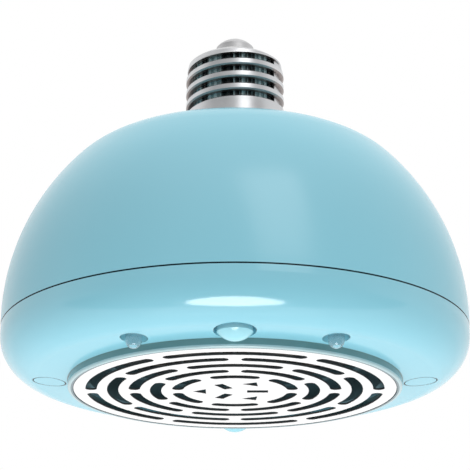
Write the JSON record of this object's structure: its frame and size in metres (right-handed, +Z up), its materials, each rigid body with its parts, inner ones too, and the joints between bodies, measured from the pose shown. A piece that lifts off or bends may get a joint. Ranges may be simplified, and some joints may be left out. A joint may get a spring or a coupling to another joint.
{
  "type": "brooder heat lamp",
  "caption": "Screw-in dome heater with a slotted round outlet, push buttons and clear indicator lenses on its underside, and a threaded lamp cap on top.",
  "frame": {"origin": "centre of the collar's rim, on the surface that the part stands on", "axes": "+Z up the lamp axis from the outlet to the screw cap; the front button is towards -Y"},
  "size_m": [0.12, 0.12, 0.0989],
  "materials": {
    "housing": "glossy light blue",
    "button": "glossy light blue",
    "grille": "satin white",
    "cap_metal": "nickel-plated, satin",
    "contact_metal": "satin",
    "cap_insulation": "pale, satin",
    "dark_plastic": "dark teal, satin",
    "fins": "dark anodised",
    "heater_bar": "matte",
    "steel": "satin",
    "bronze": "oiled",
    "motor": "varnished windings",
    "board": "solder resist",
    "switch": "matte",
    "component": "satin",
    "led": "clear over yellow",
    "lead": "satin",
    "lens": "clear, polished"
  },
  "bodies": {
    "housing": {"upper_housing": "housing", "lower_housing": "housing", "grille_plate": "grille", "indicator_leds": "led", "left_plug": "housing", "right_plug": "housing", "housing_screws": "steel", "board_screws": "steel", "air_duct": "dark_plastic", "heater_frame": "dark_plastic", "heater_fins": "fins", "heater_bars": "heater_bar", "thermal_cutout": "steel", "fan_frame": "dark_plastic", "fan_bush": "bronze", "fan_motor": "motor", "power_board": "board", "power_screws": "steel", "relay": "component", "filter_capacitor": "component", "transformer": "component", "fuse_link": "lens", "cap_core": "dark_plastic", "screw_shell": "cap_metal", "cap_insulator": "cap_insulation", "centre_contact": "contact_metal", "live_lead": "lead", "neutral_lead": "lead", "front_switch": "switch", "back_switch": "switch", "front_board": "board", "back_board": "board", "lens_front_left": "lens", "lens_front_right": "lens"},
    "front_button": {"front_button": "button", "front_plunger": "switch"},
    "back_button": {"back_button": "button", "back_plunger": "switch"},
    "fan_rotor": {"fan_impeller": "dark_plastic", "fan_shaft": "steel"}
  },
  "joints": [
    {"name": "front_button_press", "type": "slide", "parent": "housing", "child": "front_button", "axis": [0, 0, 1], "range_m": [0, 0.0008], "stiffness_N_per_m": 1500},
    {"name": "back_button_press", "type": "slide", "parent": "housing", "child": "back_button", "axis": [0, 0, 1], "range_m": [0, 0.0008], "stiffness_N_per_m": 1500},
    {"name": "fan_spin", "type": "hinge", "parent": "housing", "child": "fan_rotor", "pos_m": [0, 0, 0.033], "axis": [0, 0, 1], "continuous": true}
  ]
}
